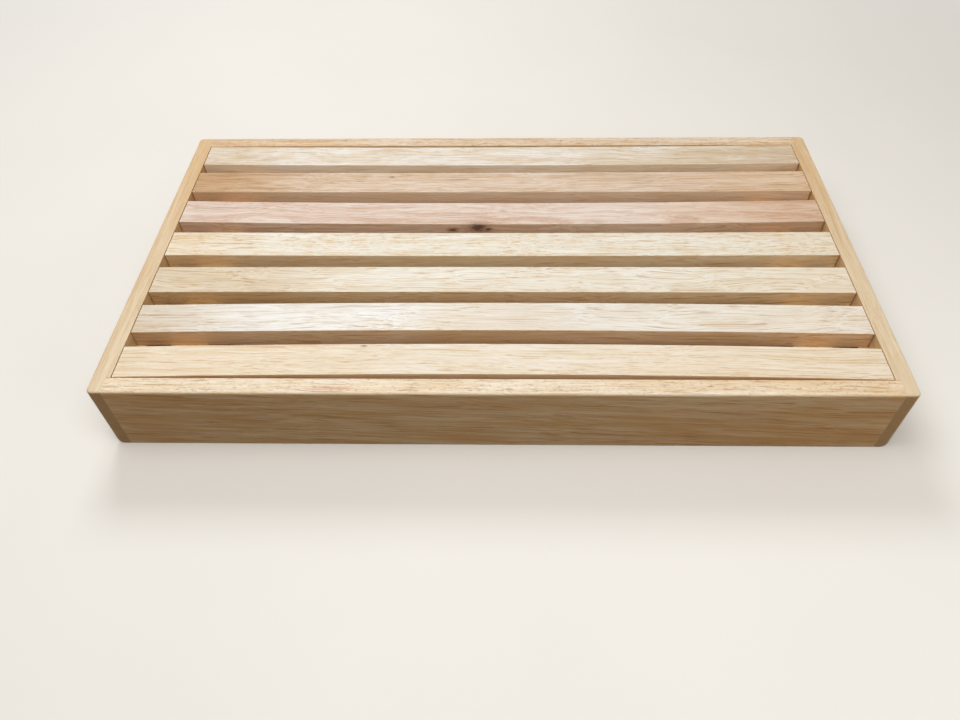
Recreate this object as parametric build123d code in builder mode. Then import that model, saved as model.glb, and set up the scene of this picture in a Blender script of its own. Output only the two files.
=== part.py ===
"""Bread board with crumb catcher: a slatted cutting rack that lifts out of a shallow wooden tray.

Millimetres. +Z is up, +X runs along the board and the front long side faces -Y. The origin is the
centre of the footprint, on the surface that the board stands on.
"""

import os

from build123d import *

# The whole board
board_length = 400.0
board_width = 217.0
board_height = 42.5
edge_ease = 1.3  # rounded outer top edges of the tray
fine_ease = 0.35  # lightly sanded edges of everything else

# The four rails of the tray, all of one stock
rail_thick = 9.5
rabbet_depth = 2.0  # how far the long rails are let into the end rails
corner_radius = 3.0  # upright outer corners
foot_radius = 6.2  # lower outer edge of the end rails
hidden_fit = 0.1  # free space round a dowel, pin or screw in its hole
cutter_spare = 1.0  # how far the cutters of the end rails' feet run past them

# Dowels of the corner joints
dowel_radius = 2.5
dowel_length = 20.0
dowel_bite = 5.0  # length of a dowel that sits in the end rail
dowel_chamfer = 0.6
bore_spare = 0.5  # room for glue past the end of a dowel, pin or screw
dowel_height_shares = (0.38, 0.75)  # of the board's height

# Floor of the crumb tray
panel_thick = 3.0
panel_raise = 5.0  # underside of the floor above the table
groove_depth = 4.5
groove_play = 0.2  # free height over the floor in its groove
panel_play = 0.5  # free length past the floor's edge in its groove

# Slats of the rack
slat_width = 20.0
slat_thick = 10.5
slat_end_gap = 0.4
slat_side_gap = 0.8
slat_drift_shares = (0.5, 1.4, 1.75, 1.5, 0.5, 0.0, -0.5)  # of the side gap, off each slat's even place
slat_bow_shares = (-0.08, -0.04, -0.13, -0.04, 0.02, 0.105, 0.13)  # of a slat's width, at mid length

# Battens that join the slats
batten_width = 20.0
batten_thick = 10.5
batten_inset = 17.5  # from the slats' ends to the batten
batten_end_gap = 3.0  # from the batten's ends to the tray's walls

# Screws from each batten up into each slat
screw_radius = 1.6
screw_head_radius = 3.1
screw_head_angle = 90
screw_length = 16.5
screw_tip = 2.4

# Ledges that the slats' ends rest on
ledge_width = 5.0
ledge_height = 10.0
ledge_end_gap = 0.5
pin_radius = 0.7
pin_length = 11.0
pin_tip = 1.2
pin_place_shares = (-0.42, 0.0, 0.42)  # of the ledge's length

# Places that follow from the sizes above
half_length = board_length / 2
half_width = board_width / 2
inner_x = half_length - rail_thick
inner_y = half_width - rail_thick
joint_x = inner_x + rabbet_depth
rail_centre_y = half_width - rail_thick / 2
slat_base = board_height - slat_thick
slat_half = inner_x - slat_end_gap
slat_count = len(slat_drift_shares)
first_slat_y = inner_y - slat_side_gap - slat_width / 2
slat_pitch = 2 * first_slat_y / (slat_count - 1)
batten_x = slat_half - batten_inset - batten_width / 2
batten_base = slat_base - batten_thick
ledge_x = inner_x - ledge_width
ledge_length = 2 * (inner_y - ledge_end_gap)
groove_height = panel_thick + groove_play
groove_centre_z = panel_raise + groove_height / 2
dowel_heights = [share * board_height for share in dowel_height_shares]
dowel_points = [(side * rail_centre_y, height) for side in (-1, 1) for height in dowel_heights]
pin_points = [(share * ledge_length, slat_base - ledge_height / 2) for share in pin_place_shares]


def slat_y(number):
    """Middle of a slat at its ends, counted from 0 at the back."""
    return first_slat_y - number * slat_pitch + slat_drift_shares[number] * slat_side_gap


def slat_bow(number):
    """How far a slat has moved sideways at mid length."""
    return slat_bow_shares[number] * slat_width


def screw_y(number):
    """Middle of a slat over the battens, where its screws go in."""
    return slat_y(number) + slat_bow(number) * (1 - (batten_x / slat_half) ** 2)


# End rails: rabbeted at both ends for the long rails, with a stopped groove for the floor

with BuildPart() as end_rail_right:
    with BuildSketch() as end_rail_plan:
        with Locations((half_length - rail_thick / 2, 0)):
            Rectangle(rail_thick, board_width)
        fillet(end_rail_plan.vertices().group_by(Axis.X)[-1], corner_radius)
        for side in (-1, 1):
            with Locations((joint_x - rabbet_depth / 2, side * rail_centre_y)):
                Rectangle(rabbet_depth, rail_thick, mode=Mode.SUBTRACT)
    extrude(amount=board_height)
    top_edges = end_rail_right.faces().sort_by(Axis.Z)[-1].edges()
    fillet(top_edges.filter_by_position(Axis.X, joint_x + edge_ease, half_length), edge_ease)
    fillet(end_rail_right.edges().filter_by(Axis.Y).group_by(Axis.Z)[-1].sort_by(Axis.X)[0], fine_ease)
    with BuildSketch(Plane.XZ.offset(-half_width - cutter_spare)):
        with Locations((half_length, 0)):
            Rectangle(2 * foot_radius, 2 * foot_radius)
        with Locations((half_length - foot_radius, foot_radius)):
            Circle(foot_radius, mode=Mode.SUBTRACT)
    extrude(amount=board_width + 2 * cutter_spare, mode=Mode.SUBTRACT)
    with BuildSketch(Plane.YZ.offset(inner_x - cutter_spare)):
        for side in (-1, 1):
            with Locations((side * half_width, 0)):
                Rectangle(2 * fine_ease, 2 * fine_ease)
            with Locations((side * (half_width - fine_ease), fine_ease)):
                Circle(fine_ease, mode=Mode.SUBTRACT)
    extrude(amount=rail_thick + 2 * cutter_spare, mode=Mode.SUBTRACT)
    with BuildSketch(Plane.YZ.offset(inner_x)):
        with Locations((0, groove_centre_z)):
            Rectangle(2 * inner_y, groove_height)
    extrude(amount=groove_depth, mode=Mode.SUBTRACT)
    with BuildSketch(Plane.YZ.offset(joint_x)):
        with Locations(*dowel_points):
            Circle(dowel_radius + hidden_fit)
    extrude(amount=dowel_bite + bore_spare, mode=Mode.SUBTRACT)
    with BuildSketch(Plane.YZ.offset(inner_x)):
        with Locations(*pin_points):
            Circle(pin_radius + hidden_fit)
    extrude(amount=pin_length - ledge_width + bore_spare, mode=Mode.SUBTRACT)
end_rail_right.part.label = "end_rail_right"

with BuildPart() as end_rail_left:
    mirror(end_rail_right.part, about=Plane.YZ)
end_rail_left.part.label = "end_rail_left"


# Long rails: grooved from end to end, doweled into the end rails

with BuildPart() as front_rail:
    with BuildSketch(Plane.YZ.offset(-joint_x)):
        with Locations((-rail_centre_y, board_height / 2)):
            Rectangle(rail_thick, board_height)
        with Locations((-inner_y - groove_depth / 2, groove_centre_z)):
            Rectangle(groove_depth, groove_height, mode=Mode.SUBTRACT)
    extrude(amount=2 * joint_x)
    long_edges = front_rail.edges().filter_by(Axis.X)
    top_outer_edge, top_inner_edge = long_edges.group_by(Axis.Z)[-1].sort_by(Axis.Y)
    foot_edge = long_edges.group_by(Axis.Z)[0].sort_by(Axis.Y)[0]
    fillet(top_outer_edge, edge_ease)
    fillet([top_inner_edge, foot_edge], fine_ease)
    for end in (-1, 1):
        with BuildSketch(Plane.YZ.offset(end * joint_x)):
            with Locations(*[(-rail_centre_y, height) for height in dowel_heights]):
                Circle(dowel_radius + hidden_fit)
        extrude(amount=-end * (dowel_length - dowel_bite + bore_spare), mode=Mode.SUBTRACT)
front_rail.part.label = "front_rail"

with BuildPart() as back_rail:
    mirror(front_rail.part, about=Plane.XZ)
back_rail.part.label = "back_rail"


# Dowels: two in each corner joint, hidden once the tray is glued up

with BuildPart() as dowel:
    with BuildSketch(Plane.YZ):
        Circle(dowel_radius)
    extrude(amount=dowel_length)
    chamfer(dowel.edges(), dowel_chamfer)

with BuildPart() as rail_dowels:
    for dowel_start in (joint_x + dowel_bite - dowel_length, -joint_x - dowel_bite):
        with Locations(*[(dowel_start, y, z) for y, z in dowel_points]):
            add(dowel.part)
rail_dowels.part.label = "rail_dowels"


# Floor of the crumb tray: a thin sheet in the grooves, its corners cut away at the joints

with BuildPart() as base_panel:
    with BuildSketch(Plane.XY.offset(panel_raise)):
        Rectangle(2 * (inner_x - panel_play), 2 * (inner_y + groove_depth - panel_play))
        Rectangle(2 * (inner_x + groove_depth - panel_play), 2 * (inner_y - panel_play))
    extrude(amount=panel_thick)
base_panel.part.label = "base_panel"


# Ledges: glued and pinned to the end rails, level with the undersides of the slats

with BuildPart() as ledge_right:
    with BuildSketch(Plane.XY.offset(slat_base - ledge_height)):
        with Locations((inner_x - ledge_width / 2, 0)):
            Rectangle(ledge_width, ledge_length)
    extrude(amount=ledge_height)
    fillet(ledge_right.edges().filter_by(Axis.Y).group_by(Axis.X)[0], fine_ease)
    with BuildSketch(Plane.YZ.offset(ledge_x)):
        with Locations(*pin_points):
            Circle(pin_radius + hidden_fit)
    extrude(amount=ledge_width, mode=Mode.SUBTRACT)
ledge_right.part.label = "ledge_right"

with BuildPart() as ledge_left:
    mirror(ledge_right.part, about=Plane.YZ)
ledge_left.part.label = "ledge_left"


# Pins of the ledges

with BuildPart() as pin:
    with BuildSketch(Plane.XY):
        with BuildLine():
            Polyline(
                (0, 0),
                (0, pin_radius),
                (pin_length - pin_tip, pin_radius),
                (pin_length, 0),
                close=True,
            )
        make_face()
    revolve(axis=Axis.X)

with BuildPart() as right_pins:
    with Locations(*[(ledge_x, y, z) for y, z in pin_points]):
        add(pin.part)

with BuildPart() as ledge_pins:
    add(right_pins.part)
    mirror(right_pins.part, about=Plane.YZ)
ledge_pins.part.label = "ledge_pins"


# Slats: straight stock that has bowed a little sideways between its two battens


def build_slat(number):
    """One slat with its two blind screw holes, counted from 0 at the back."""
    back_y = slat_y(number) + slat_width / 2
    front_y = slat_y(number) - slat_width / 2
    bow = slat_bow(number)
    with BuildPart() as slat:
        with BuildSketch(Plane.XY.offset(slat_base)):
            with BuildLine():
                back_line = ThreePointArc((-slat_half, back_y), (0, back_y + bow), (slat_half, back_y))
                front_line = ThreePointArc((-slat_half, front_y), (0, front_y + bow), (slat_half, front_y))
                Line(back_line @ 0, front_line @ 0)
                Line(back_line @ 1, front_line @ 1)
            make_face()
        extrude(amount=slat_thick)
        fillet(slat.edges(), fine_ease)
        with BuildSketch(Plane.XY.offset(slat_base)):
            with Locations((-batten_x, screw_y(number)), (batten_x, screw_y(number))):
                Circle(screw_radius + hidden_fit)
        extrude(amount=screw_length - batten_thick + bore_spare, mode=Mode.SUBTRACT)
    slat.part.label = f"slat_{number + 1}"
    return slat.part


slats = [build_slat(number) for number in range(slat_count)]


# Battens: across all slats from below, with a countersunk hole under each

with BuildPart() as batten_right:
    with BuildSketch(Plane.XY.offset(batten_base)):
        with Locations((batten_x, 0)):
            Rectangle(batten_width, 2 * (inner_y - batten_end_gap))
    extrude(amount=batten_thick)
    fillet(batten_right.edges(), fine_ease)
    underside = Plane(origin=(0, 0, batten_base), x_dir=(1, 0, 0), z_dir=(0, 0, -1))
    with Locations(underside):
        with Locations(*[(batten_x, -screw_y(number)) for number in range(slat_count)]):
            CounterSinkHole(
                screw_radius + hidden_fit,
                screw_head_radius + hidden_fit,
                counter_sink_angle=screw_head_angle,
            )
batten_right.part.label = "batten_right"

with BuildPart() as batten_left:
    mirror(batten_right.part, about=Plane.YZ)
batten_left.part.label = "batten_left"


# Screws: heads flush with the undersides of the battens

with BuildPart() as screw:
    with BuildSketch(Plane.XZ):
        with BuildLine():
            Polyline(
                (0, 0),
                (screw_head_radius, 0),
                (screw_radius, screw_head_radius - screw_radius),
                (screw_radius, screw_length - screw_tip),
                (0, screw_length),
                close=True,
            )
        make_face()
    revolve(axis=Axis.Z)

with BuildPart() as slat_screws:
    for screw_x in (-batten_x, batten_x):
        with Locations(*[(screw_x, screw_y(number), batten_base) for number in range(slat_count)]):
            add(screw.part)
slat_screws.part.label = "slat_screws"


# One file for each piece, or for each group of like fixings

tray_pieces = [end_rail_right, end_rail_left, front_rail, back_rail, rail_dowels, base_panel]
ledge_pieces = [ledge_right, ledge_left, ledge_pins]
rack_pieces = [batten_right, batten_left, slat_screws]

os.makedirs("parts", exist_ok=True)
for piece in tray_pieces + ledge_pieces + rack_pieces:
    export_step(piece.part, f"parts/{piece.part.label}.step")
for slat in slats:
    export_step(slat, f"parts/{slat.label}.step")
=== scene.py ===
"""Bread board with crumb catcher: the looks of a slatted cutting rack in a shallow rubberwood tray.

Metres. +Z is up, +X runs along the board and its front long side faces -Y.
"""

import math

import bmesh
import bpy
from mathutils import Euler, Matrix, Vector


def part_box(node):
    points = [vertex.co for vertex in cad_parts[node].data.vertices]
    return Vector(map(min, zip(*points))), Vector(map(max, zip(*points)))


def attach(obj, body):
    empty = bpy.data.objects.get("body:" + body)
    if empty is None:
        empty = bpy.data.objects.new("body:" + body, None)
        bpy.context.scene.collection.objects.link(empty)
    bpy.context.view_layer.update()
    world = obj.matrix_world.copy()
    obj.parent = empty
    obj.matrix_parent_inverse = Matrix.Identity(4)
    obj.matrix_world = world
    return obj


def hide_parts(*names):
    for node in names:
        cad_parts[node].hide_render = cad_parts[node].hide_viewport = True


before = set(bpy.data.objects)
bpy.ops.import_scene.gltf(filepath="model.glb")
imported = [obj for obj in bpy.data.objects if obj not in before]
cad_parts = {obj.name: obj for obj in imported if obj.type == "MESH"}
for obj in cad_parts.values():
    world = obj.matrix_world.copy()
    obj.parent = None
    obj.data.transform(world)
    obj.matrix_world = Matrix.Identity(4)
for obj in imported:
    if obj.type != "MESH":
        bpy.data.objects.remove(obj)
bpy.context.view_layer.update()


# End rails: two lengths of rubberwood whose grain runs from front to back, rabbeted at both ends
# for the long rails and glued to them. Their end grain shows as a strip at each end of the front.


def shade(code):
    """A colour written as red, green and blue in hexadecimal, as the shader wants it."""
    parts = [int(code[i:i + 2], 16) / 255 for i in (0, 2, 4)]
    return tuple(((v + 0.055) / 1.055) ** 2.4 if v > 0.04045 else v / 12.92 for v in parts) + (1.0,)


class Bench:
    """A bench on which shader nodes are laid down one after another."""

    def __init__(self, tree):
        self.tree = tree

    def join(self, value, socket):
        """Links another node's output to a socket, or sets it to a number, a vector or a colour."""
        if isinstance(value, bpy.types.NodeSocket):
            self.tree.links.new(value, socket)
        else:
            socket.default_value = value

    def add(self, kind, inputs, **settings):
        """Lays down a node with its settings, joins its inputs and gives its outputs."""
        node = self.tree.nodes.new(kind)
        for key, value in settings.items():
            setattr(node, key, value)
        for key, value in inputs.items():
            self.join(value, node.inputs[key])
        return node.outputs

    def number(self, operation, first, second=0.0):
        """Works out one number from two."""
        return self.add("ShaderNodeMath", {0: first, 1: second}, operation=operation)[0]

    def vector(self, operation, first, second=(0, 0, 0)):
        """Works out a vector, or its length as Value, from one or two vectors."""
        return self.add("ShaderNodeVectorMath", {0: first, 1: second}, operation=operation)

    def step(self, value, low, high, floor=0.0, top=1.0):
        """Goes smoothly from floor to top while value goes from low to high."""
        inputs = {"Value": value, "From Min": low, "From Max": high, "To Min": floor, "To Max": top}
        return self.add("ShaderNodeMapRange", inputs, interpolation_type="SMOOTHSTEP")[0]

    def noise(self, place, changes, detail=2.0, roughness=0.5):
        """Cloudy noise with so many changes to the metre along each axis."""
        inputs = {"Vector": self.vector("MULTIPLY", place, changes)[0], "Scale": 1.0,
                  "Detail": detail, "Roughness": roughness}
        return self.add("ShaderNodeTexNoise", inputs, noise_dimensions="3D")

    def marks(self, place, changes, low, high, detail=2.0, roughness=0.5):
        """Noise made into marks: none below low, full above high."""
        return self.step(self.noise(place, changes, detail, roughness)[0], low, high)

    def blend(self, share, under, over, how="MIX"):
        """Lays a share of one colour over another."""
        inputs = {0: share, 6: under, 7: over}
        return self.add("ShaderNodeMix", inputs, data_type="RGBA", blend_type=how)[2]


class Finish(Bench):
    """The finish of a piece: its material, with the places and directions that the nodes read."""

    def __init__(self, name):
        self.material = bpy.data.materials.new(name)
        self.material.use_nodes = True
        super().__init__(self.material.node_tree)
        self.shader = self.tree.nodes["Principled BSDF"]
        self.place = self.tree.nodes.new("ShaderNodeTexCoord").outputs

    def feed(self, **values):
        """Joins values to the shader's own sockets, whose names are written with underscores."""
        for name, value in values.items():
            self.join(value, self.shader.inputs[name.replace("_", " ")])

    def relief(self, height, strength, distance):
        """Raises and sinks the surface by a height from 0 to 1."""
        bump = {"Height": height, "Strength": strength, "Distance": distance}
        self.feed(Normal=self.add("ShaderNodeBump", bump)[0])


def rubberwood(node, name, grain_axis="X", lean=(0, 0, 0), heart=(0.03, -0.05), wave=0.005,
               pale="EBDDC3", warm="D9BD95", vessel="B58A5C",
               lines=0.45, line_length=0.03, hairs=0.45, flecks=0.25, fleck_length=0.005,
               patches=0.25, layers=0.25, calm_top=0.0, gloss=0.45,
               sides="FFF2DC", paler_sides="000000",
               darker=(), honey=(), tanned=(), knots=(), flushes=()):
    """Rubberwood, planed and oiled: growth layers round the tree's heart, long vessel lines and
    hairs, short open pores as flecks, fine fibres and dull end grain, with pale streaks along the
    grain and paler edges painted on as a highlight, the edges partly as sanding wear.

    The grain runs along an axis, off by the lean in degrees, and sways by the wave in metres. The
    shares say how much of each mark shows, and calm_top holds them back on the top face. A piece
    may grow darker, more honey-coloured or tanned along an axis, each from one place to another up
    to a share. Its side faces carry painted shade from the sides colour, and some painted light from
    a paler colour. It may hold knots, as place and size, and reddish flushes, as place, length and
    width."""
    wood = Finish(name)
    place = wood.place["Object"]
    low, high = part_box(node)
    turn = {"X": 0.0, "Y": -90.0}[grain_axis]
    leaning = Euler([math.radians(a) for a in (lean[0], lean[1], lean[2] + turn)])
    # Pieces of one stock are set at their own lengths along the tree, so no two have one figure
    in_tree = Vector((high.x * 7 + low.y * 11, *heart))
    offset = in_tree - leaning.to_matrix() @ ((low + high) / 2)
    placing = {"Vector": place, "Rotation": leaning, "Location": offset}
    along_grain = wood.add("ShaderNodeMapping", placing)[0]
    sway = wood.noise(along_grain, (11, 35, 35))["Color"]
    sway = wood.vector("SUBTRACT", sway, (0.5, 0.5, 0.5))[0]
    sway = wood.vector("MULTIPLY", sway, (0, wave * 2, wave * 2))[0]
    grain = wood.vector("ADD", along_grain, sway)[0]

    across = wood.vector("MULTIPLY", grain, (0, 1, 1))[0]
    radius = wood.vector("LENGTH", across)["Value"]
    stem = wood.add("ShaderNodeSeparateXYZ", {0: grain})[0]
    layer_place = wood.add("ShaderNodeCombineXYZ", {0: radius, 1: stem})[0]
    layer = wood.marks(layer_place, (420, 1.5, 0), 0.35, 0.65, detail=3.0)
    patch = wood.marks(grain, (16, 130, 130), 0.36, 0.64, detail=3.0, roughness=0.6)
    line = wood.marks(grain, (0.8 / line_length, 1750, 1750), 0.49, 0.61, detail=3.0, roughness=0.62)
    hair = wood.marks(grain, (0.5 / line_length, 1150, 1150), 0.56, 0.66, roughness=0.7)
    fleck = wood.marks(grain, (1 / fleck_length, 1300, 1300), 0.56, 0.68)
    fibre = wood.marks(grain, (70, 2600, 2600), 0.3, 0.7)
    painted_glint = wood.marks(grain, (0.5 / line_length, 650, 650), 0.56, 0.68, roughness=0.6)

    facing = wood.vector("ABSOLUTE", wood.place["Normal"])[0]
    facing_x, facing_y, facing_z = wood.add("ShaderNodeSeparateXYZ", {0: facing})[0:3]
    end_facing = {"X": facing_x, "Y": facing_y}[grain_axis]
    flat = wood.number("MAXIMUM", wood.number("MAXIMUM", facing_x, facing_y), facing_z)
    on_sides = wood.step(facing_z, 0.5, 0.9, 1.0, 0.0)
    places = wood.add("ShaderNodeSeparateXYZ", {0: place})

    def reach(axis, start, end, share):
        """A share that grows from nothing at start to its full size at end, along an axis."""
        return wood.step(places["XYZ".index(axis)], start, end, 0.0, share)

    # The ground colour goes from pale to warm
    warmth = wood.number("MULTIPLY", patch, patches)
    warmth = wood.number("ADD", warmth, wood.number("MULTIPLY", layer, layers))
    warmth = wood.number("ADD", warmth, wood.number("MULTIPLY", line, lines))
    for stretch in darker:
        warmth = wood.number("ADD", warmth, reach(*stretch))
    if calm_top:
        usual = 0.6
        spread = wood.step(facing_z, 0.5, 0.9, 1.0, 1.0 - calm_top)
        warmth = wood.number("MULTIPLY", wood.number("SUBTRACT", warmth, usual), spread)
        warmth = wood.number("ADD", warmth, usual)
    warmth = wood.number("MINIMUM", warmth, 1.0)
    colour = wood.blend(warmth, shade(pale), shade(warm))

    # Vessels and fibres lie darker in it, and pale streaks along the grain are a painted highlight
    colour = wood.blend(wood.number("MULTIPLY", hair, hairs), colour, shade(vessel))
    fleck_share = wood.step(layer, 0.0, 1.0, 0.5 * flecks, flecks)
    fleck_share = wood.number("MULTIPLY", fleck_share, wood.step(facing_z, 0.0, 0.9, 0.2, 1.0))
    colour = wood.blend(wood.number("MULTIPLY", fleck_share, fleck), colour, shade(vessel))
    colour = wood.blend(wood.step(fibre, 0.0, 1.0, 0.12, 0.0), colour, shade(vessel))
    # Painted highlight: pale streaks, stronger on the side faces than on the top
    painted_glint_share = wood.step(facing_z, 0.5, 0.9, 0.22, 0.10)
    colour = wood.blend(wood.number("MULTIPLY", painted_glint, painted_glint_share), colour, shade("FFF8EA"))

    # Some stretches have a tone of their own, and the sides carry painted shade and painted light
    for tint, stretches in (("FFEBC8", honey), ("DEC49A", tanned)):
        for stretch in stretches:
            toned = wood.blend(1.0, colour, shade(tint), how="MULTIPLY")
            colour = wood.blend(reach(*stretch), colour, toned)
    # Painted shade and light: the side faces are made darker and warmer by the sides colour, and paler by
    # a second colour
    painted_side_colour = wood.blend(1.0, colour, shade(sides), how="MULTIPLY")
    painted_side_colour = wood.blend(1.0, painted_side_colour, shade(paler_sides), how="SCREEN")
    colour = wood.blend(on_sides, colour, painted_side_colour)

    for x, y, z, length, width in flushes:
        away = wood.vector("SUBTRACT", place, (x, y, z))[0]
        away = wood.vector("MULTIPLY", away, (1 / length, 1 / width, 1 / width))[0]
        away = wood.vector("LENGTH", away)["Value"]
        away = wood.number("ADD", away, wood.step(line, 0.0, 1.0, 0.35, -0.35))
        colour = wood.blend(wood.step(away, 0.2, 1.2, 0.45, 0.0), colour, shade("C98C74"))
    if knots:
        ragged = wood.noise(place, (420, 700, 700))[0]
    for x, y, z, size in knots:
        away = wood.vector("SUBTRACT", place, (x, y, z))[0]
        away = wood.vector("MULTIPLY", away, (1 / size, 2.5 / size, 1.7 / size))[0]
        away = wood.vector("LENGTH", away)["Value"]
        away = wood.number("ADD", away, wood.step(ragged, 0.3, 0.7, -0.3, 0.3))
        colour = wood.blend(wood.step(away, 0.9, 2.6, 0.5, 0.0), colour, shade("8A5F45"))
        colour = wood.blend(wood.step(away, 0.4, 1.2, 0.8, 0.0), colour, shade("483F45"))

    # End grain drinks more oil. The rounded edges are painted paler, partly as sanding wear and partly as
    # a painted highlight
    colour = wood.blend(wood.step(end_facing, 0.6, 0.95, 0.0, 0.55), colour, shade("8E5A18"))
    colour = wood.blend(wood.step(flat, 0.80, 0.995, 0.22, 0.0), colour, shade("F6E7CC"))

    dull = wood.step(fibre, 0.0, 1.0, gloss + 0.10, gloss)
    dull = wood.number("ADD", dull, wood.number("MULTIPLY", line, 0.12))
    wood.feed(Base_Color=colour, Roughness=dull, Specular_IOR_Level=0.2)
    pores = wood.number("MAXIMUM", line, fleck)
    wood.relief(wood.number("SUBTRACT", wood.number("MULTIPLY", fibre, 0.3), pores), 0.3, 0.0001)
    return wood.material


def dress(node, name, **looks):
    """Gives a CAD node a rubberwood finish of its own, under a name."""
    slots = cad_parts[node].data.materials
    slots.clear()
    slots.append(rubberwood(node, name, **looks))


# Both end rails grow darker towards the back, partly in the wood's tone and partly as painted shade where
# the light falls off
for end_rail in ("end_rail_left", "end_rail_right"):
    dress(
        end_rail, end_rail + "_wood", grain_axis="Y", lean=(0.8, 0, 0.4), heart=(0.05, -0.09), wave=0.003,
        pale="E1D4BA", warm="CDAF86", vessel="A2794C",
        lines=0.25, line_length=0.045, hairs=0.2, flecks=0.1, patches=0.2, layers=0.3,
        darker=[("Y", -0.09, 0.10, 0.3)], honey=[("Y", -0.02, 0.09, 0.35)],
    )


# Front and back rails: two longer lengths of the same stock, grooved for the floor and set into
# the rabbets of the end rails. Their grain leans to the length, so that the top shows short pores.

dress(
    "front_rail", "front_rail_wood", lean=(0, -3.2, 0.5), heart=(0.055, -0.03), wave=0.003,
    pale="F3F2E8", warm="DCC29A", vessel="9A6D44",
    lines=0.5, line_length=0.03, hairs=0.5, flecks=0.48, fleck_length=0.0022,
    patches=0.5, layers=0.45, calm_top=0.5, sides="EED5B5",
    darker=[("X", 0.08, 0.16, 0.2)],
    honey=[("X", -0.14, -0.19, 0.2), ("X", 0.06, 0.16, 0.15)],
    flushes=[(-0.082, -0.1055, 0.0425, 0.017, 0.0022)],
)
dress(
    "back_rail", "back_rail_wood", lean=(0, -3.5, -0.3), heart=(-0.045, -0.05), wave=0.003,
    pale="E7E0D2", warm="D0B390", vessel="986E45",
    lines=0.55, line_length=0.02, hairs=0.5, flecks=0.6, fleck_length=0.0035,
    patches=0.4, layers=0.45,
    darker=[("X", -0.06, -0.14, 0.3)],
    honey=[("X", -0.06, -0.16, 0.2), ("X", 0.10, 0.18, 0.35)],
)


# Corner dowels: fluted beech pegs, two to a corner. They are glued in blind holes of the end rails
# and the long rails, so they don't show, and their flutes let the spare glue out.

FLUTES = 24
FLUTE_DEPTH = 0.00018
DOWEL_BEVEL = 0.0006


def fixings(node):
    """The lowest and highest corner of each loose solid in a CAD node, in order along the board."""
    shells = bmesh.new()
    shells.from_mesh(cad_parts[node].data)
    bmesh.ops.remove_doubles(shells, verts=shells.verts, dist=1e-6)
    waiting = set(shells.verts)
    boxes = []
    while waiting:
        reached = [waiting.pop()]
        for vertex in reached:
            for neighbour in (edge.other_vert(vertex) for edge in vertex.link_edges):
                if neighbour in waiting:
                    waiting.remove(neighbour)
                    reached.append(neighbour)
        spots = [vertex.co.copy() for vertex in reached]
        boxes.append(tuple(Vector([pick(p[i] for p in spots) for i in range(3)]) for pick in (min, max)))
    shells.free()
    return sorted(boxes, key=lambda box: tuple(round(v, 4) for v in box[0]))


def turned(outline, steps):
    """A shape turned on the lathe about +Z, from its outline given as radius and height."""
    shape = bmesh.new()
    points = [shape.verts.new((radius, 0, height)) for radius, height in outline]
    edges = [shape.edges.new(pair) for pair in zip(points, points[1:])]
    bmesh.ops.spin(shape, geom=points + edges, cent=(0, 0, 0), axis=(0, 0, 1), angle=math.tau,
                   steps=steps, use_merge=True)
    bmesh.ops.remove_doubles(shape, verts=shape.verts, dist=1e-7)
    return shape


def place_copies(name, pattern, matrices, material, node, body):
    """Makes one piece of many like fixings, each a copy of the pattern set in its place."""
    lot = bpy.data.meshes.new(name)
    gathered = bmesh.new()
    for matrix in matrices:
        one = pattern.copy()
        one.transform(matrix)
        one.to_mesh(lot)
        one.free()
        gathered.from_mesh(lot)
    bmesh.ops.recalc_face_normals(gathered, faces=gathered.faces)
    gathered.to_mesh(lot)
    gathered.free()
    pattern.free()
    lot.materials.append(material)
    piece = bpy.data.objects.new(name, lot)
    bpy.context.scene.collection.objects.link(piece)
    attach(piece, body)
    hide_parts(node)


dowel_boxes = fixings("rail_dowels")
low, high = dowel_boxes[0]
dowel_radius = (high.z - low.z) / 2
dowel_length = high.x - low.x
peg = turned([
    (0, 0), (dowel_radius - DOWEL_BEVEL, 0), (dowel_radius, DOWEL_BEVEL),
    (dowel_radius, dowel_length - DOWEL_BEVEL), (dowel_radius - DOWEL_BEVEL, dowel_length),
    (0, dowel_length),
], 2 * FLUTES)
for vertex in peg.verts:
    spoke = round(math.atan2(vertex.co.y, vertex.co.x) * FLUTES / math.pi)
    if spoke % 2 and vertex.co.xy.length > dowel_radius / 2:
        vertex.co.xy *= 1 - FLUTE_DEPTH / dowel_radius
dowel_places = []
for low, high in dowel_boxes:
    end = Vector((low.x, (low.y + high.y) / 2, (low.z + high.z) / 2))
    dowel_places.append(Matrix.Translation(end) @ Matrix.Rotation(math.pi / 2, 4, "Y"))
dowel_finish = rubberwood(
    "rail_dowels", "dowel_wood", wave=0.001, pale="D9BE93", warm="C9A777", vessel="8E6238",
    line_length=0.012,
)
place_copies("fluted_dowels", peg, dowel_places, dowel_finish, "rail_dowels", "tray")


# Floor of the crumb tray: a thin sheet of plywood, loose in the grooves of the four rails so that
# it may shrink and swell. Its outer ply is rubberwood, with the grain along the board.

dress(
    "base_panel", "panel_wood", lean=(0.5, 0.6, 0.4), heart=(0.02, -0.03), wave=0.008,
    pale="E4CEA6", warm="D0AE7E", vessel="A0703F", line_length=0.04,
)


# Ledges: a strip of rubberwood along the inside of each end rail, which the slats' ends rest on.
# It is cut from the rails' stock, and glued and pinned in place.

for ledge in ("ledge_left", "ledge_right"):
    dress(
        ledge, ledge + "_wood", grain_axis="Y", lean=(1, 0, 0),
        pale="EAD4AC", warm="D8B582", vessel="B07F4C",
    )


# Ledge pins: three steel wire pins to a ledge, each with a small punched head and a cut point.
# They are driven in flush, and hold the ledge while its glue sets.

PIN_STEPS = 20
PUNCH_DEPTH = 0.00018
HEAD_THICKNESS = 0.0009
NECK_LENGTH = 0.0004
WIRE_SHARE = 0.78
POINT_LENGTH = 0.0016
BLUNT_LENGTH = 0.0003


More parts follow.
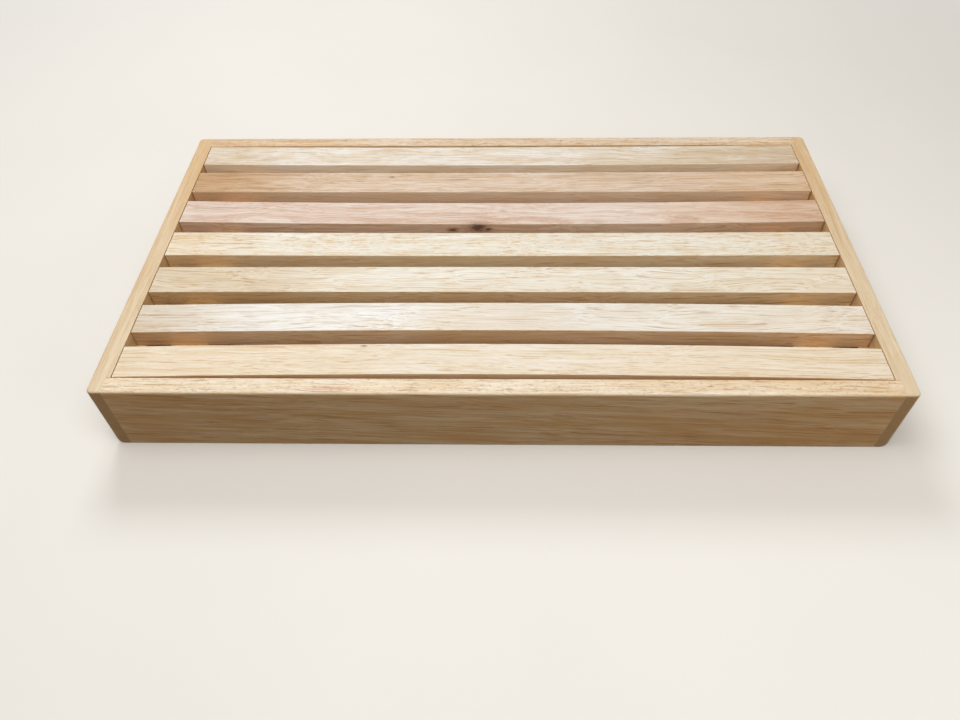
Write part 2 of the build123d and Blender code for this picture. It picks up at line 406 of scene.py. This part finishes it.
def steel(name, bright, dull, roughness, scratches):
    """Bare or plated steel with a cloudy surface and fine tool marks."""
    metal = Finish(name)
    place = metal.place["Object"]
    cloud = metal.marks(place, (420, 420, 420), 0.35, 0.65, detail=3.0)
    scratch = metal.marks(place, scratches, 0.4, 0.6)
    worn = metal.number("ADD", metal.step(cloud, 0.0, 1.0, roughness, roughness + 0.12),
                        metal.number("MULTIPLY", scratch, 0.08))
    metal.feed(Base_Color=metal.blend(cloud, shade(bright), shade(dull)), Roughness=worn, Metallic=1.0)
    metal.relief(scratch, 0.2, 0.00003)
    return metal.material


pin_boxes = fixings("ledge_pins")
low, high = pin_boxes[0]
pin_radius = (high.z - low.z) / 2
pin_length = high.x - low.x
wire_radius = WIRE_SHARE * pin_radius
pin = turned([
    (0, PUNCH_DEPTH), (0.4 * pin_radius, PUNCH_DEPTH - 0.00002), (0.75 * pin_radius, 0),
    (pin_radius, 0.0001), (pin_radius, HEAD_THICKNESS), (wire_radius, HEAD_THICKNESS + NECK_LENGTH),
    (wire_radius, pin_length - POINT_LENGTH), (0.3 * pin_radius, pin_length - BLUNT_LENGTH),
    (0, pin_length),
], PIN_STEPS)
pin_places = []
for low, high in pin_boxes:
    outward = 1 if low.x > 0 else -1
    head = Vector((low.x if outward > 0 else high.x, (low.y + high.y) / 2, (low.z + high.z) / 2))
    pin_places.append(Matrix.Translation(head) @ Matrix.Rotation(outward * math.pi / 2, 4, "Y"))
pin_finish = steel("pin_steel", "B9B8B6", "8F8E8C", roughness=0.28, scratches=(300, 3000, 3000))
place_copies("ledge_brads", pin, pin_places, pin_finish, "ledge_pins", "tray")


# Slats: seven lengths of rubberwood in their natural colours, with painted shade and light on their
# sides, planed flush with the rails of the tray. Each is from another board, so each has a colour and
# figure of its own.

# Slat 1, at the back: cream, with close lines, tanned towards its ends
dress(
    "slat_1", "slat_1_wood", lean=(0, 1.2, 0.6), heart=(0.03, -0.04),
    pale="EAEBE8", warm="D3C2A8", vessel="A58562", sides="FFFAEE", paler_sides="A58C79",
    lines=0.6, hairs=0.55, patches=0.55,
    darker=[("X", 0.09, 0.19, 0.15)],
    tanned=[("X", 0.08, 0.18, 0.42), ("X", -0.12, -0.19, 0.35)],
)
# Slat 2: browner, most so at its left end, with one small knot
dress(
    "slat_2", "slat_2_wood", lean=(0, -0.8, -0.8), heart=(-0.04, -0.03),
    pale="E0D2C5", warm="C5A784", vessel="9A7652", sides="FFFBF4", paler_sides="AE866C",
    lines=0.6, hairs=0.6, patches=0.35,
    honey=[("X", 0.08, 0.18, 0.4)], tanned=[("X", -0.09, -0.18, 0.85)],
    knots=[(-0.067, 0.0645, 0.0425, 0.0012)],
)
# Slat 3: rosy, with three knots in its front edge
dress(
    "slat_3", "slat_3_wood", lean=(0, 0.8, 1.4), heart=(0.012, -0.022), wave=0.007,
    pale="E4DAD2", warm="C7A892", vessel="9F785F", sides="FFF8EE",
    lines=0.5, hairs=0.4, layers=0.5,
    darker=[("X", 0.09, 0.19, 0.4)], honey=[("X", 0.06, 0.14, 0.35)],
    knots=[(-0.0124, 0.0182, 0.0400, 0.0044), (-0.0270, 0.0182, 0.0382, 0.0021),
           (-0.0062, 0.0182, 0.0386, 0.0014)],
)
# Slat 4: pale, with short golden pores
dress(
    "slat_4", "slat_4_wood", lean=(0, 2.2, 0.2), heart=(0.05, -0.03),
    pale="E8EAE5", warm="D8C7A8", vessel="C09A67", sides="FFEED6",
    lines=0.45, line_length=0.016, hairs=0.65, flecks=0.6,
    darker=[("X", -0.13, -0.19, 0.15)],
    honey=[("X", -0.11, -0.19, 0.3), ("X", 0.08, 0.19, 0.2)],
)
# Slat 5: pale, with long swaying lines and a tanned left end
dress(
    "slat_5", "slat_5_wood", lean=(0, 1.0, 1.2), heart=(-0.03, -0.05), wave=0.009,
    pale="E9EAE5", warm="D7C9B0", vessel="BC9C6D", sides="F6E2C4",
    lines=0.6, line_length=0.045, hairs=0.75, flecks=0.12,
    honey=[("X", 0.08, 0.18, 0.25)], tanned=[("X", -0.08, -0.13, 0.45)],
)
# Slat 6: the whitest and glossiest, with a warmer stretch left of the middle
dress(
    "slat_6", "slat_6_wood", lean=(0, 1.0, -0.6), heart=(0.04, -0.06), wave=0.006,
    pale="E9EEF0", warm="D9CFBF", vessel="B89C7D", sides="FFE4C6",
    lines=0.6, hairs=0.75, gloss=0.30,
    darker=[("X", -0.055, -0.03, 0.3), ("X", 0.015, 0.045, -0.3)],
    honey=[("X", -0.055, -0.02, 0.15), ("X", 0.05, 0.16, 0.2)], tanned=[("X", -0.12, -0.19, 0.5)],
)
# Slat 7, at the front: straw-coloured, with one pinhead knot
dress(
    "slat_7", "slat_7_wood", lean=(0, -1.4, 0.4), heart=(-0.05, -0.035),
    pale="E9E5DC", warm="D7C5A4", vessel="C09A6C", sides="FFEED6",
    hairs=0.6, flecks=0.3,
    honey=[("X", -0.02, -0.14, 0.3), ("X", 0.02, 0.10, 0.2)],
    knots=[(-0.068, -0.0778, 0.0425, 0.0010)],
)


# Battens: two cross pieces of rubberwood under the slats, as thick as they are. Screwed to every
# slat from below, they make the seven slats one rack that lifts out.

for batten in ("batten_left", "batten_right"):
    dress(
        batten, batten + "_wood", grain_axis="Y", lean=(1, 0, 0.5),
        pale="F0DAAE", warm="E0BC84", vessel="B07F4C",
    )


# Slat screws: fourteen countersunk wood screws with a cross recess, zinc-plated, driven up through
# the battens into the slats until their heads are flush.

SCREW_STEPS = 36
RIM_ROUNDING = 0.00015
RIM_HEIGHT = 0.0002
SHANK_RADIUS = 0.0016
SHANK_END = 0.0065
CORE_SHARE = 0.74
CORE_START = 0.0072
TIP_LENGTH = 0.0024
CROSS_REACH = 0.0017
CROSS_WIDTH = 0.00055
CROSS_DEPTH = 0.0014
CROSS_TAPER = 0.62
MOUTH_MARGIN = 0.0003
THREAD_START = 0.0074
THREAD_PITCH = 0.0013
THREAD_ROOT = 0.0001
STEPS_TO_A_TURN = 14
TURN_BETWEEN_SCREWS = 37
NEAR = 1e-6

screw_boxes = fixings("slat_screws")
low, high = screw_boxes[0]
head_radius = (high.x - low.x) / 2
screw_length = high.z - low.z
core_radius = CORE_SHARE * SHANK_RADIUS
cone_top = head_radius - SHANK_RADIUS
screw = turned([
    (head_radius - RIM_ROUNDING, 0), (head_radius, RIM_HEIGHT), (SHANK_RADIUS, cone_top + 0.0001),
    (SHANK_RADIUS, SHANK_END), (core_radius, CORE_START), (core_radius, screw_length - TIP_LENGTH),
    (0, screw_length),
], SCREW_STEPS)

# The cross recess: a cross cut from a grid, joined to the rim of the head and sunk into it
rim = [edge for edge in screw.edges if edge.is_boundary]
cross = bmesh.ops.create_grid(screw, x_segments=3, y_segments=3, size=CROSS_REACH)["verts"]
for vertex in cross:
    for axis in (0, 1):
        if abs(vertex.co[axis]) < CROSS_REACH - NEAR:
            vertex.co[axis] = math.copysign(CROSS_WIDTH, vertex.co[axis])
corners = [vertex for vertex in cross if min(abs(vertex.co.x), abs(vertex.co.y)) > CROSS_WIDTH + NEAR]
bmesh.ops.delete(screw, geom=corners, context="VERTS")
recess = [face for face in screw.faces if all(vertex in cross for vertex in face.verts)]
mouth = [edge for face in recess for edge in face.edges if edge.is_boundary]
bmesh.ops.subdivide_edges(screw, edges=list(dict.fromkeys(mouth)), cuts=2)
inside = head_radius - MOUTH_MARGIN
recess = [face for face in screw.faces
          if all(abs(vertex.co.z) < NEAR and vertex.co.length < inside for vertex in face.verts)]
mouth = [edge for edge in {e for face in recess for e in face.edges} if edge.is_boundary]
bmesh.ops.bridge_loops(screw, edges=rim + mouth)
sunk = bmesh.ops.extrude_face_region(screw, geom=recess)["geom"]
recess_floor = [part for part in sunk if isinstance(part, bmesh.types.BMVert)]
bmesh.ops.scale(screw, verts=recess_floor, vec=(CROSS_TAPER, CROSS_TAPER, 1))
bmesh.ops.translate(screw, verts=recess_floor, vec=(0, 0, CROSS_DEPTH))
bmesh.ops.delete(screw, geom=[face for face in recess if face.is_valid], context="FACES")

# The thread: one flank of three corners, wound up the core
thread_turns = (screw_length - TIP_LENGTH - THREAD_START) / THREAD_PITCH
thread_steps = round(thread_turns * STEPS_TO_A_TURN)
flank = [
    screw.verts.new((core_radius - THREAD_ROOT, 0, THREAD_START)),
    screw.verts.new((SHANK_RADIUS, 0, THREAD_START + 0.32 * THREAD_PITCH)),
    screw.verts.new((core_radius - THREAD_ROOT, 0, THREAD_START + 0.5 * THREAD_PITCH)),
]
flank_face = screw.faces.new(flank)
bmesh.ops.spin(screw, geom=flank + list(flank_face.edges) + [flank_face], cent=(0, 0, 0), axis=(0, 0, 1),
               dvec=(0, 0, THREAD_PITCH * thread_turns / thread_steps), angle=math.tau * thread_turns,
               steps=thread_steps, use_merge=False)
bmesh.ops.holes_fill(screw, edges=[edge for edge in screw.edges if edge.is_boundary], sides=6)

screw_places = []
for order, (low, high) in enumerate(screw_boxes):
    spot = Matrix.Translation(((low.x + high.x) / 2, (low.y + high.y) / 2, low.z))
    screw_places.append(spot @ Matrix.Rotation(math.radians(TURN_BETWEEN_SCREWS * order), 4, "Z"))
screw_finish = steel("screw_steel", "C9C2A6", "9F9777", roughness=0.30, scratches=(900, 900, 900))
place_copies("rack_screws", screw, screw_places, screw_finish, "slat_screws", "rack")


# The studio: a sheet of pale paper for a floor, which fades into a pale surrounding. A wide softbox
# hangs overhead, a strong one stands behind and a weak one at the right front. The camera was fitted
# to the board's own edges in the photograph.

FLOOR_REACH = 6.0
FADE_START = 0.30
FADE_END = 1.05


def seen_directly(bench):
    """1 where the camera, a glossy or a see-through surface looks, and 0 for light that is cast."""
    ray = bench.tree.nodes.new("ShaderNodeLightPath").outputs
    seen = bench.number("MAXIMUM", ray["Is Camera Ray"], ray["Is Glossy Ray"])
    return bench.number("MAXIMUM", seen, ray["Is Transmission Ray"])


bpy.ops.mesh.primitive_circle_add(vertices=96, radius=FLOOR_REACH, fill_type="NGON", location=(0, 0, 0))
floor = bpy.context.object
floor.name = "floor"
paper = Finish("floor_paper")
seen = seen_directly(paper)
mottle = paper.noise(paper.place["Object"], (9, 9, 9), detail=4.0)[0]
pale_paper = paper.blend(mottle, shade("EEEDEA"), shade("E9E8E4"))
distance = paper.vector("LENGTH", paper.place["Object"])["Value"]
far = paper.number("MULTIPLY", seen, paper.step(distance, FADE_START, FADE_END))
near_colour = paper.blend(seen, shade("2C251D"), pale_paper)
paper.feed(
    Base_Color=paper.blend(far, near_colour, shade("000000")), Emission_Color=pale_paper,
    Emission_Strength=far, Roughness=0.9, Specular_IOR_Level=0.1,
)
floor.data.materials.append(paper.material)

world = bpy.data.worlds.new("studio")
bpy.context.scene.world = world
world.use_nodes = True
sky = Bench(world.node_tree)
sky_colour = sky.blend(seen_directly(sky), (0.34, 0.30, 0.25, 1), shade("ECEBE8"))
sky.join(sky_colour, world.node_tree.nodes["Background"].inputs["Color"])


def softbox(name, place, aim, width, depth, power):
    """An area lamp that faces a point."""
    lamp = bpy.data.lights.new(name, "AREA")
    lamp.shape = "RECTANGLE"
    lamp.size = width
    lamp.size_y = depth
    lamp.energy = power
    holder = bpy.data.objects.new(name, lamp)
    holder.location = place
    holder.rotation_euler = (Vector(aim) - Vector(place)).to_track_quat("-Z", "Y").to_euler()
    bpy.context.scene.collection.objects.link(holder)


softbox("overhead", (-0.07, -0.17, 0.70), (-0.01, -0.05, 0), width=0.9, depth=0.34, power=3.15)
softbox("window", (0.45, -0.48, 0.32), (0.05, -0.05, 0.02), width=0.3, depth=0.3, power=0.5)
softbox("behind", (-0.26, 0.80, 0.86), (-0.05, -0.03, 0.04), width=0.5, depth=0.35, power=5.5)

photo_width = 960
focal_pixels = 751.88
pitch = math.radians(49.238)
yaw = math.radians(-1.965)
roll = math.radians(1.311)
lens = bpy.data.cameras.new("photo_view")
lens.sensor_width = 36.0
lens.lens = focal_pixels * lens.sensor_width / photo_width
camera = bpy.data.objects.new("photo_view", lens)
camera.location = (-0.00088, -0.33006, 0.32467)
camera.rotation_euler = (
    Matrix.Rotation(-yaw, 3, "Z") @ Matrix.Rotation(math.pi / 2 - pitch, 3, "X")
    @ Matrix.Rotation(-roll, 3, "Z")
).to_euler()
bpy.context.scene.collection.objects.link(camera)
bpy.context.scene.camera = camera
bpy.context.scene.view_settings.view_transform = "Standard"
